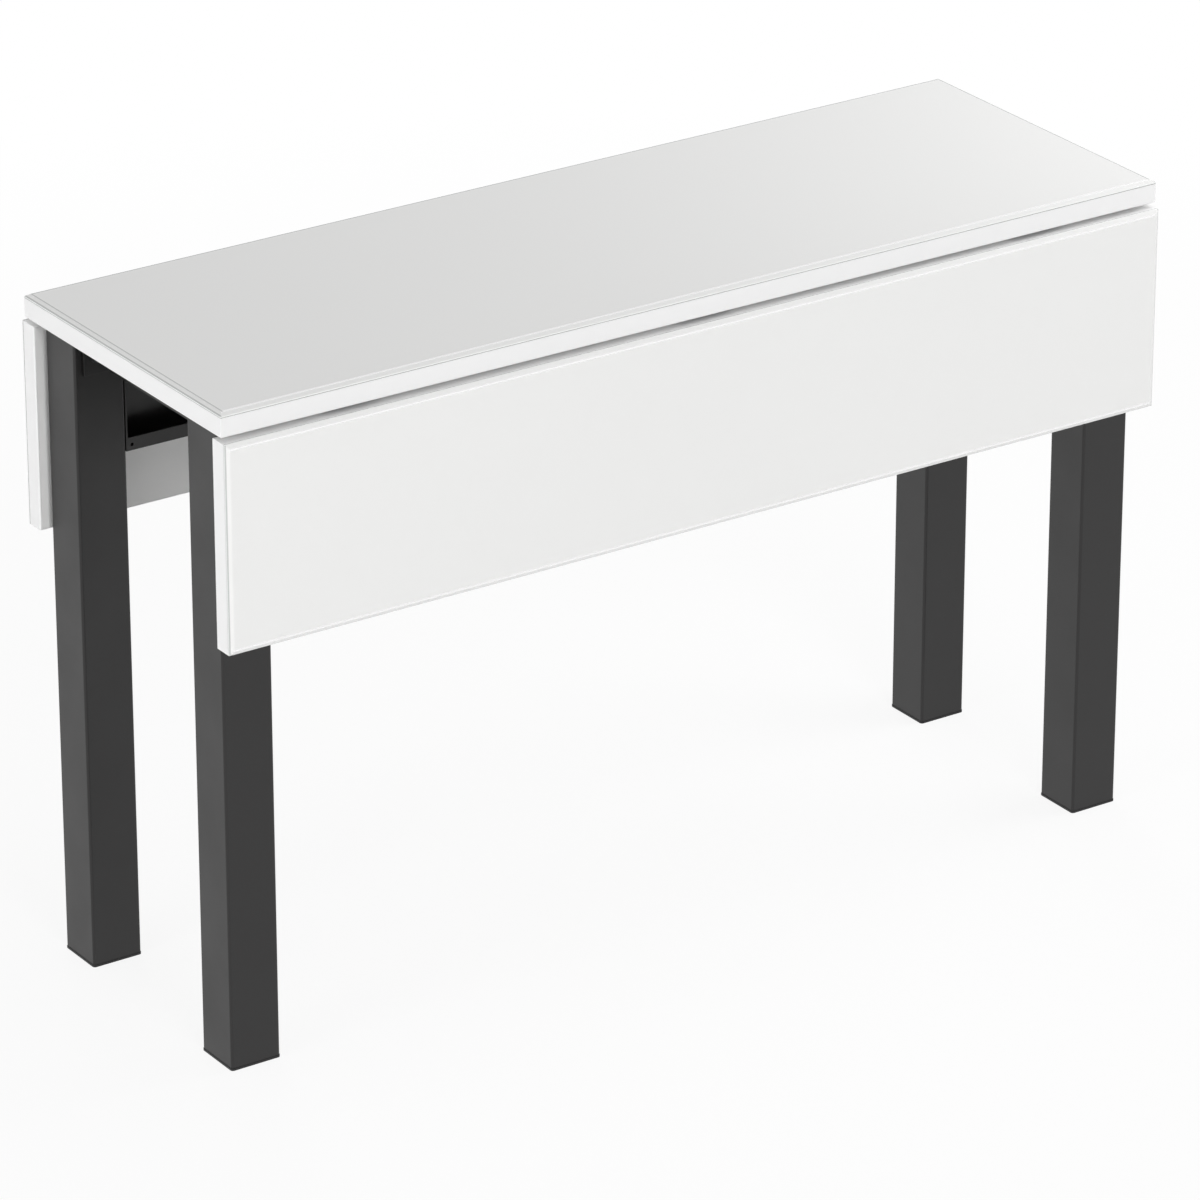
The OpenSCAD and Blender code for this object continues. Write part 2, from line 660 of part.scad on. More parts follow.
centre_board();
centre_edge_band();
centre_glass();
leg(-1, -1);  // leg_front_left
leg(1, -1);  // leg_front_right
leg(-1, 1);  // leg_rear_left
leg(1, 1);  // leg_rear_right
foot_cap(-1, -1);  // foot_cap_front_left
foot_cap(1, -1);  // foot_cap_front_right
foot_cap(-1, 1);  // foot_cap_rear_left
foot_cap(1, 1);  // foot_cap_rear_right
leg_plate(-1, -1);  // leg_plate_front_left
leg_plate(1, -1);  // leg_plate_front_right
leg_plate(-1, 1);  // leg_plate_rear_left
leg_plate(1, 1);  // leg_plate_rear_right
front_apron();
at_rear() front_apron();  // rear_apron
end_rail(-1);  // left_end_rail
end_rail(1);  // right_end_rail
frame_bolts();
frame_weld_nuts();
top_fixing_screws();
front_hinge_top_plates();
at_rear() front_hinge_top_plates();  // rear_hinge_top_plates
front_hinge_leaf_plates();
at_rear() front_hinge_leaf_plates();  // rear_hinge_leaf_plates
front_hinge_pins();
at_rear() front_hinge_pins();  // rear_hinge_pins
hinge_top_screws();
front_leaf_screws();
at_rear() front_leaf_screws();  // rear_leaf_screws
guide_channel(-bracket_spacing);  // front_left_guide_channel
guide_channel(bracket_spacing);  // front_right_guide_channel
at_rear() guide_channel(bracket_spacing);  // rear_left_guide_channel
at_rear() guide_channel(-bracket_spacing);  // rear_right_guide_channel
guide_channel_bolts();
front_leaf_board();
front_leaf_edge_band();
front_leaf_glass();
at_rear() front_leaf_board();  // rear_leaf_board
at_rear() front_leaf_edge_band();  // rear_leaf_edge_band
at_rear() front_leaf_glass();  // rear_leaf_glass
leaf_bracket(-bracket_spacing);  // front_left_leaf_bracket
leaf_bracket(bracket_spacing);  // front_right_leaf_bracket
at_rear() leaf_bracket(bracket_spacing);  // rear_left_leaf_bracket
at_rear() leaf_bracket(-bracket_spacing);  // rear_right_leaf_bracket
front_leaf_buffers();
at_rear() front_leaf_buffers();  // rear_leaf_buffers
strut(-bracket_spacing);  // front_left_strut
strut(bracket_spacing);  // front_right_strut
at_rear() strut(bracket_spacing);  // rear_left_strut
at_rear() strut(-bracket_spacing);  // rear_right_strut
strut_pins(-bracket_spacing);  // front_left_strut_pins
strut_pins(bracket_spacing);  // front_right_strut_pins
at_rear() strut_pins(bracket_spacing);  // rear_left_strut_pins
at_rear() strut_pins(-bracket_spacing);  // rear_right_strut_pins
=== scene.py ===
"""Finishes and small hardware for a drop-leaf glass table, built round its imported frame.

The file is laid out as an add-on. Run as a script, it dresses the frame, sets up a plain studio
and places the camera. Lengths are metres and angles are radians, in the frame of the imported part:
X runs along the table, -Y is the front and Z is up.
"""

import math

import bmesh
import bpy
from bpy.props import FloatProperty, FloatVectorProperty, IntProperty, PointerProperty
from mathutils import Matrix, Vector


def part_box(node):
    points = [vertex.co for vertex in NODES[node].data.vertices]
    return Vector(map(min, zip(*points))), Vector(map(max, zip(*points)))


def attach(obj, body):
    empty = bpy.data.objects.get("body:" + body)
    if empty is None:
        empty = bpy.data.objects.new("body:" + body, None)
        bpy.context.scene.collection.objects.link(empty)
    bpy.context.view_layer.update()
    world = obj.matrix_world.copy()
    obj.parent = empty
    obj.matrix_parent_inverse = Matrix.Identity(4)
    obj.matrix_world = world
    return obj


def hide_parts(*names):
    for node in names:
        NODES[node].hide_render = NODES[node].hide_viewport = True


bl_info = {
    "name": "Drop-leaf glass table",
    "version": (1, 0, 0),
    "blender": (4, 5, 0),
    "location": "View3D > Sidebar > Table",
    "description": "Dresses a drop-leaf glass table with its finishes, screws, bolts and welds",
    "category": "Object",
}

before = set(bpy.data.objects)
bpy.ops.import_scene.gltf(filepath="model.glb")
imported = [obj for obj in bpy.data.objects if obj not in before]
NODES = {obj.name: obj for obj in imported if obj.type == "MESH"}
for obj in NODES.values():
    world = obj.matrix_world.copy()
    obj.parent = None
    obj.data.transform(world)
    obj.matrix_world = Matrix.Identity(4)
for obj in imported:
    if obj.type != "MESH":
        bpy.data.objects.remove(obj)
for startup in ("Cube", "Light", "Camera"):
    if startup in bpy.data.objects:
        bpy.data.objects.remove(bpy.data.objects[startup])
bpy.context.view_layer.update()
SIDES = ("front", "rear")
HANDS = ("left", "right")
CORNERS = [f"{side}_{hand}" for side in SIDES for hand in HANDS]
# Each plate's short axis, the axis of its thickness, and the way its glass faces along that
PLATES = {"centre": ("Y", "Z", 1), "front_leaf": ("Z", "Y", -1), "rear_leaf": ("Z", "Y", 1)}
MM = 0.001
# Corners as close as SAME are one corner, and lengths within NEAR of each other are equal
SAME = 0.001 * MM
NEAR = 0.1 * MM
# Packed edges sharper than the first are rounded, and built faces below the second shade as one
ROUNDED_ANGLE = math.radians(25)
SMOOTH_ANGLE = math.radians(35)
# The part of the range from 0 to 1 that a noise texture fills
NOISE_LOW = 0.3
NOISE_HIGH = 0.7


def shade(red, green, blue):
    """A screen colour of 0 to 255 as the linear colour that Blender works with."""
    return tuple(
        v / 12.92 if v <= 0.04045 else ((v + 0.055) / 1.055) ** 2.4
        for v in (red / 255, green / 255, blue / 255)
    )


def colour(label, text, default):
    return FloatVectorProperty(
        name=label, description=text, subtype="COLOR", size=3, min=0, max=1, default=default
    )


def length(label, text, default):
    return FloatProperty(
        name=label, description=text, subtype="DISTANCE", unit="LENGTH",
        min=0, max=50, precision=5, default=default,
    )


def share(label, text, default):
    return FloatProperty(
        name=label, description=text, subtype="FACTOR", min=0, max=1, default=default
    )


def angle(label, text, degrees):
    return FloatProperty(
        name=label, description=text, subtype="ANGLE", unit="ROTATION",
        default=math.radians(degrees),
    )


def watts(label, text, default):
    return FloatProperty(
        name=label, description=text, subtype="POWER", unit="POWER", min=0, default=default
    )


def optics(label, text, default):
    return FloatProperty(
        name=label, description=text, subtype="DISTANCE_CAMERA", unit="CAMERA",
        min=1, default=default,
    )


class TableFinishes(bpy.types.PropertyGroup):
    """Colours and sheen of the table's materials."""

    glass: colour("Glass", "White paint seen through the glass", shade(236, 236, 235))
    glass_bevel: colour("Glass bevel", "Polished bevel round each plate", shade(231, 231, 230))
    # Painted highlight: glass_arris is the bright line that stands in for light glinting off the
    # polished arris
    glass_arris: colour("Glass arris", "Bright line between bevel and face", shade(248, 248, 248))
    glass_edge: colour("Glass edge", "Upright edge under the bevel", shade(238, 240, 239))
    # The joint line is the adhesive at the foot of the glass edge together with painted shade of
    # the thin gap there
    glue_and_shade_line: colour("Joint line", "Adhesive at the foot of the glass", shade(180, 180, 179))
    # Painted shade: grey lines that stand in for the darker room mirrored in the end bevels and
    # along the top's rear edge
    painted_shade_line: colour("Shaded line", "Lines along the end and rear bevels", shade(188, 190, 189))
    glass_roughness: share("Glass roughness", "Roughness of the clean glass", 0.05)
    laminate: colour("Laminate", "White melamine on the faces of the boards", shade(240, 240, 239))
    banding: colour("Edge banding", "White banding round the boards", shade(240, 240, 240))
    glue_line: colour("Glue line", "Fine joint between banding and laminate", shade(176, 174, 170))
    coating: colour("Powder coat", "Graphite coating of legs, aprons and rails", shade(23, 22, 22))
    coating_roughness: share("Powder coat roughness", "Roughness of the coating", 0.38)
    bolt: colour("Frame bolts", "Black steel of the frame's fasteners", shade(58, 58, 60))
    cap: colour("Foot cap", "Moulded plastic of the foot caps", shade(22, 22, 23))
    zinc: colour("Zinc plating", "Plated hinges, brackets and fasteners", shade(190, 193, 197))
    rubber: colour("Rubber", "Leaf buffers", shade(30, 30, 31))


class TableSizes(bpy.types.PropertyGroup):
    """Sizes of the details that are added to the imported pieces."""

    glass_arris: length("Glass arris", "Rounding of the glass plates' ground edges", 0.5 * MM)
    glass_bevel: length("Glass bevel", "Width of the bevel round each glass plate", 5 * MM)
    glass_land: length("Glass land", "Upright edge left under the bevel", 2 * MM)
    # Width of the painted line along the long bevels: a painted highlight at the front, painted
    # shade on the top's rear edge
    painted_arris_line: length("Arris line", "Width of the bright line along the long bevels", 2.2 * MM)
    # Width of the painted shade lines
    painted_shade_line: length("Shaded line", "Width of the shaded lines along the end bevels", 1.6 * MM)
    # Metallic on that line is a painted reflection, which makes it mirror the white room as a
    # highlight
    arris_painted_reflection: share("Arris mirror", "How strongly the polished arris mirrors the room", 0.5)
    # Height of that adhesive line with its painted gap shade
    glue_and_shade_line: length("Joint line", "Height of the adhesive seen at the glass edge", 0.9 * MM)
    band_round: length("Banding round", "Rounding of the edge banding", 0.4 * MM)
    band: length("Banding", "Thickness of the edge banding", 2 * MM)
    sheet_round: length("Sheet round", "Rounding of cut and folded sheet edges", 0.3 * MM)
    recess_width: length("Recess width", "Width of the cross slots in the screw heads", 1.1 * MM)
    recess_depth: length("Recess depth", "Depth of the cross in the screw heads", 1.4 * MM)
    screw_shank: length("Screw shank", "Radius of the wood screws under the head", 2 * MM)
    screw_sink: length("Countersink", "Height of the countersunk heads", 2 * MM)
    pan_height: length("Pan head", "Height of the domed screw heads", 1.8 * MM)
    thread_pitch: length("Thread pitch", "Rise of a wood screw's thread in one turn", 1.8 * MM)
    bolt_pitch: length("Bolt pitch", "Rise of a bolt's thread in one turn", 1.0 * MM)
    bolt_shank: length("Bolt shank", "Radius of the frame bolts", 3 * MM)
    bolt_head: length("Bolt head", "Height of the frame bolts' heads with their washers", 4 * MM)
    guide_shank: length("Guide bolt shank", "Radius of the guide channels' bolts", 2.5 * MM)
    guide_head: length("Guide bolt head", "Height of the guide channels' button heads", 1.8 * MM)
    guide_grip: length("Guide bolt grip", "Sheets held by a guide channel's bolt", 4 * MM)
    guide_nut: length("Guide bolt nut", "Height of the nuts inside the apron", 4 * MM)
    weld_width: length("Weld width", "Width of the weld beads", 3.2 * MM)
    weld_step: length("Weld step", "Distance from one weld ripple to the next", 1.3 * MM)
    seed: IntProperty(name="Seed", description="Turns the screw heads at random", default=7, min=0)


class StudioSettings(bpy.types.PropertyGroup):
    """Camera, lamps and floor."""

    azimuth: angle("Azimuth", "Direction of the camera from the front, towards the left", 33.97)
    elevation: angle("Elevation", "Height of the camera above the horizon", 24.14)
    distance: length("Distance", "From the camera to its aim", 7.717)
    aim_height: length("Aim height", "Height of the point that the camera looks at", 0.3335)
    aim_depth: length("Aim depth", "How far the aim lies behind the table's middle", 0.003)
    sensor: optics("Sensor", "Width of the camera's sensor in mm", 36.0)
    lens: optics("Lens", "Focal length in mm", 210.0)
    ambient: share("Ambient", "Strength of the all-round light", 0.43)
    front_power: watts("Front lamp", "Power of the large lamp at the front", 189.0)
    right_power: watts("Right lamp", "Power of the small lamp above the right end", 12.0)
    left_power: watts("Left lamp", "Power of the lamp at the left", 51.0)
    rear_power: watts("Rear lamp", "Power of the large lamp at the rear", 150.0)
    floor: colour("Floor", "Plain pale floor", shade(250, 250, 250))


class Wire:
    """One output socket, on which sums can be written as on a number."""

    def __init__(self, graph, socket):
        self.graph = graph
        self.socket = socket

    def side(self, name):
        """Another output of the same node."""
        return Wire(self.graph, self.socket.node.outputs[name])

    def maths(self, operation, first, second=0.0):
        return self.graph.add("ShaderNodeMath", {"operation": operation}, {0: first, 1: second})

    def __add__(self, other):
        return self.maths("ADD", self, other)

    def __radd__(self, other):
        return self.maths("ADD", other, self)

    def __sub__(self, other):
        return self.maths("SUBTRACT", self, other)

    def __rsub__(self, other):
        return self.maths("SUBTRACT", other, self)

    def __mul__(self, other):
        return self.maths("MULTIPLY", self, other)

    def __rmul__(self, other):
        return self.maths("MULTIPLY", other, self)

    def __truediv__(self, other):
        return self.maths("DIVIDE", self, other)

    def __gt__(self, other):
        return self.maths("GREATER_THAN", self, other)

    def __lt__(self, other):
        return self.maths("LESS_THAN", self, other)

    def __abs__(self):
        return self.maths("ABSOLUTE", self)

    def at_least(self, other):
        return self.maths("MAXIMUM", self, other)

    def at_most(self, other):
        return self.maths("MINIMUM", self, other)


class Graph:
    """The nodes of one material, world or geometry tree."""

    def __init__(self, tree):
        self.tree = tree

    def add(self, kind, settings=None, sockets=None, out=0):
        """Adds a node: its settings first, then the values or links of its sockets."""
        node = self.tree.nodes.new(kind)
        for name, value in (settings or {}).items():
            setattr(node, name, value)
        for key, value in (sockets or {}).items():
            for one in value if isinstance(value, list) else [value]:
                if isinstance(one, Wire):
                    self.tree.links.new(one.socket, node.inputs[key])
                else:
                    node.inputs[key].default_value = one
        return Wire(self, node.outputs[out]) if len(node.outputs) else node

    def where(self, centre=(0, 0, 0), stretch=(1, 1, 1)):
        """Object coordinates, measured from a centre and stretched along the axes."""
        texture = self.add("ShaderNodeTexCoord", out="Object")
        origin = tuple(-c * s for c, s in zip(centre, stretch))
        return self.add(
            "ShaderNodeMapping", {"vector_type": "POINT"},
            {"Vector": texture, "Location": origin, "Scale": stretch},
        )

    def noise(self, vector, scale, detail=2.0, roughness=0.5):
        return self.add(
            "ShaderNodeTexNoise", {"noise_dimensions": "3D"},
            {"Vector": vector, "Scale": scale, "Detail": detail, "Roughness": roughness},
        )

    def spread(self, factor, low, high):
        """Maps a noise factor, which stays near 0.5, to the range from low to high."""
        return self.add(
            "ShaderNodeMapRange", {"clamp": True},
            {"Value": factor, "From Min": NOISE_LOW, "From Max": NOISE_HIGH,
             "To Min": low, "To Max": high},
        )

    def mix(self, factor, first, second):
        """Mixes two colours, each a colour or a wire: a Mix node's sockets 6 and 7."""
        sockets = {0: factor}
        for key, value in ((6, first), (7, second)):
            sockets[key] = value if isinstance(value, Wire) else (*value, 1.0)
        settings = {"data_type": "RGBA", "blend_type": "MIX"}
        return self.add("ShaderNodeMix", settings, sockets, out=2)

    def bump(self, height, distance, strength):
        return self.add(
            "ShaderNodeBump", None, {"Height": height, "Distance": distance, "Strength": strength}
        )

    def finish(self, sockets):
        """Ends a material in one principled shader."""
        surface = self.add("ShaderNodeBsdfPrincipled", None, sockets)
        self.add("ShaderNodeOutputMaterial", None, {"Surface": surface})


def new_material(name):
    material = bpy.data.materials.new(name)
    material.use_nodes = True
    material.node_tree.nodes.clear()
    return material, Graph(material.node_tree)


def scaled(tint, factor):
    return tuple(c * factor for c in tint)


def edge_distances(graph, low, high, across):
    """How far a point of a flat plate lies inside its ends and inside its long edges."""
    centre = [(a + b) / 2 for a, b in zip(low, high)]
    place = graph.add("ShaderNodeSeparateXYZ", None, {0: graph.where(centre)}, out="X")
    return [
        (high["XYZ".index(axis)] - low["XYZ".index(axis)]) / 2 - abs(place.side(axis))
        for axis in ("X", across)
    ]


def painted_glass(name, node, across, thick, outward):
    """Clear glass with white paint behind it: a flat field, a polished bevel and a ground edge,
    with a painted highlight along the long bevels and painted shade lines along the ends, the top's
    rear edge and the foot of the edge.

    across and thick name the plate's short axis and its thickness, and outward is the sign of the
    painted glass's outer side along its thickness.
    """
    finishes = bpy.context.scene.table_finishes
    sizes = bpy.context.scene.table_sizes
    low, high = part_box(node)
    material, graph = new_material(name)
    from_end, from_side = edge_distances(graph, low, high, across)
    blend = 0.4 * MM
    inside = from_end.at_most(from_side) - (sizes.glass_bevel - blend)
    field = (inside / blend).at_least(0).at_most(1)
    # A painted highlight along the long bevels, bright in colour and partly metallic; along the
    # top's rear edge the same line becomes painted shade
    inset_share = 0.3
    crest = sizes.glass_bevel + sizes.painted_arris_line * inset_share
    arris = (abs(from_side - crest) < sizes.painted_arris_line / 2) * (from_end > sizes.glass_bevel)
    axis = "XYZ".index(thick)
    back = low[axis] if outward > 0 else high[axis]
    place = graph.add("ShaderNodeSeparateXYZ", None, {0: graph.where()})
    height = abs(place.side(thick) - back)
    # Painted shade: a grey line at the outer edge of each end bevel; on the top also one at the
    # inner edge of the end bevels and one along the rear edge
    shaded = (from_end < sizes.painted_shade_line) * (height > sizes.glass_land)
    if thick == "Z":
        fold = sizes.glass_bevel + sizes.painted_shade_line / 2
        line = (abs(from_end - fold) < sizes.painted_shade_line / 2) * (from_side > sizes.glass_bevel)
        rear = place.side("Y") > 0
        shaded = shaded.at_least(line).at_least(arris * rear)
        arris = arris * (1 - rear)
    clouds = graph.noise(graph.where(), scale=2.1)
    darker = scaled(finishes.glass, 0.99)
    paint = graph.mix(graph.spread(clouds, 0, 1), darker, finishes.glass)
    # The foot of the upright edge: adhesive, darkened further as painted shade of the gap
    land = graph.mix(height < sizes.glue_and_shade_line, finishes.glass_edge, finishes.glue_and_shade_line)
    edge = graph.mix(height < sizes.glass_land, finishes.glass_bevel, land)
    wiped = graph.noise(graph.where(stretch=(1, 3, 3)), scale=7.0, detail=4.0, roughness=0.6)
    clean = finishes.glass_roughness
    ripple = graph.noise(graph.where(), scale=9.0, detail=1.0)
    # The painted highlight goes over the glass colour, and the painted shade lines go over both
    bright = graph.mix(arris, graph.mix(field, edge, paint), finishes.glass_arris)
    graph.finish({
        "Base Color": graph.mix(shaded, bright, finishes.painted_shade_line),
        "Metallic": arris * sizes.arris_painted_reflection,
        "Roughness": graph.spread(wiped, clean * 0.8, clean * 1.5),
        "IOR": 1.52,
        "Normal": graph.bump(ripple, distance=0.02 * MM, strength=0.5),
    })
    return material


def laminate(name, tint):
    """White melamine: a satin skin with a fine, even orange peel."""
    material, graph = new_material(name)
    peel = graph.noise(graph.where(), scale=900.0)
    slow = graph.noise(graph.where(), scale=6.0, detail=3.0)
    graph.finish({
        "Base Color": graph.mix(graph.spread(slow, 0, 1), scaled(tint, 0.985), tint),
        "Roughness": graph.spread(peel, low=0.34, high=0.44),
        "Normal": graph.bump(peel, distance=0.02 * MM, strength=0.6),
    })
    return material


def edge_banding(name, node, across):
    """Banding with a hairline of glue where it meets the laminate."""
    finishes = bpy.context.scene.table_finishes
    sizes = bpy.context.scene.table_sizes
    low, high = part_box(node)
    material, graph = new_material(name)
    peel = graph.noise(graph.where(), scale=700.0)
    slow = graph.noise(graph.where(), scale=5.0, detail=3.0)
    darker = scaled(finishes.banding, 0.988)
    tint = graph.mix(graph.spread(slow, 0, 1), darker, finishes.banding)
    from_end, from_side = edge_distances(graph, low, high, across)
    inside = from_end.at_most(from_side)
    hairline = 0.15 * MM
    graph.finish({
        "Base Color": graph.mix(inside > sizes.band - hairline, tint, finishes.glue_line),
        "Roughness": graph.spread(peel, low=0.3, high=0.4),
        "Normal": graph.bump(peel, distance=0.02 * MM, strength=0.5),
    })
    return material


def powder_coat(name):
    """Fine-textured graphite powder coat: small soft grains, slightly uneven in sheen."""
    finishes = bpy.context.scene.table_finishes
    material, graph = new_material(name)
    grains = graph.noise(graph.where(), scale=1100.0, detail=3.0, roughness=0.6)
    clouds = graph.noise(graph.where(), scale=14.0, detail=3.0)
    darker = scaled(finishes.coating, 0.92)
    tint = graph.mix(graph.spread(clouds, 0, 1), darker, finishes.coating)
    rough = finishes.coating_roughness
    graph.finish({
        "Base Color": graph.mix(graph.spread(grains, 0, 1), tint, scaled(finishes.coating, 1.12)),
        "Roughness": graph.spread(clouds, rough - 0.04, rough + 0.05),
        "IOR": 1.5,
        "Normal": graph.bump(grains, distance=0.05 * MM, strength=0.45),
    })
    return material


def moulded(name, tint, roughness, scale):
    """Spark-eroded black plastic or matt rubber."""
    material, graph = new_material(name)
    grain = graph.noise(graph.where(), scale, detail=3.0, roughness=0.6)
    slow = graph.noise(graph.where(), scale=40.0)
    graph.finish({
        "Base Color": graph.mix(graph.spread(slow, 0, 1), scaled(tint, 0.8), scaled(tint, 1.1)),
        "Roughness": graph.spread(grain, roughness - 0.06, roughness + 0.08),
        "Normal": graph.bump(grain, distance=0.06 * MM, strength=0.6),
    })
    return material


def zinc_plate(name, brush=(1, 1, 1)):
    """Bright zinc plating with a soft spangle and faint rolling lines along one way."""
    finishes = bpy.context.scene.table_finishes
    material, graph = new_material(name)
    lines = graph.noise(graph.where(stretch=brush), scale=260.0, detail=4.0, roughness=0.6)
    spangle = graph.noise(graph.where(), scale=55.0, detail=3.0)
    yellowing = (0.93, 0.9, 0.83)
    warm = tuple(c * kept for c, kept in zip(finishes.zinc, yellowing))
    graph.finish({
        "Base Color": graph.mix(graph.spread(spangle, 0, 0.55), finishes.zinc, warm),
        "Metallic": 1.0,
        "Roughness": graph.spread(lines, low=0.26, high=0.42),
        "Normal": graph.bump(lines, distance=0.03 * MM, strength=0.4),
    })
    return material


def blackened_steel(name):
    """Black-plated steel: a dark satin metal with worn, slightly brighter clouds."""
    finishes = bpy.context.scene.table_finishes
    material, graph = new_material(name)
    wear = graph.noise(graph.where(), scale=420.0, detail=4.0, roughness=0.6)
    worn = scaled(finishes.bolt, 1.8)
    graph.finish({
        "Base Color": graph.mix(graph.spread(wear, 0, 1), finishes.bolt, worn),
        "Metallic": 1.0,
        "Roughness": graph.spread(wear, low=0.5, high=0.38),
        "Normal": graph.bump(wear, distance=0.02 * MM, strength=0.4),
    })
    return material


def dress(name, material):
    """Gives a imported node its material."""
    piece = NODES[name]
    piece.data.materials.clear()
    piece.data.materials.append(material)


def soften(name, width):
    """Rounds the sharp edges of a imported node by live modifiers, with its mesh left alone."""
    piece = NODES[name]
    weld = piece.modifiers.new("Weld", "WELD")
    weld.merge_threshold = SAME
    bevel = piece.modifiers.new("Bevel", "BEVEL")
    bevel.width = width
    bevel.segments = 2
    bevel.limit_method = "ANGLE"
    bevel.angle_limit = ROUNDED_ANGLE


def solids_of(name):
    """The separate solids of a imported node, each as a list of its points."""
    work = bmesh.new()
    work.from_mesh(NODES[name].data)
    bmesh.ops.remove_doubles(work, verts=work.verts, dist=SAME)
    found, seen = [], set()
    for start in work.verts:
        if start in seen:
            continue
        seen.add(start)
        group, fringe = [], [start]
        while fringe:
            vert = fringe.pop()
            group.append(vert.co.copy())
            for edge in vert.link_edges:
                other = edge.other_vert(vert)
                if other not in seen:
                    seen.add(other)
                    fringe.append(other)
        found.append(group)
    work.free()
    return found


class Fastener:
    """Where a packed screw or bolt sits: its head, the way to its tip, and its main sizes."""

    def __init__(self, points):
        low = Vector([min(p[i] for p in points) for i in range(3)])
        high = Vector([max(p[i] for p in points) for i in range(3)])
        size = high - low
        axis = max(range(3), key=lambda i: size[i])
        middle = (low + high) / 2

        def reach(some):
            return max(
                math.hypot(*(p[i] - middle[i] for i in range(3) if i != axis)) for p in some
            )

        ends = {}
        for end in (low[axis], high[axis]):
            ends[end] = reach([p for p in points if abs(p[axis] - end) < NEAR])
        head = max(ends, key=ends.get)
        self.face_radius = ends[head]
        self.radius = reach(points)
        rim = 0.5 * MM
        self.domed = self.face_radius < self.radius - rim
        self.length = size[axis]
        self.place = middle.copy()
        self.place[axis] = head
        self.way = Vector((0, 0, 0))
        self.way[axis] = 1.0 if head == low[axis] else -1.0


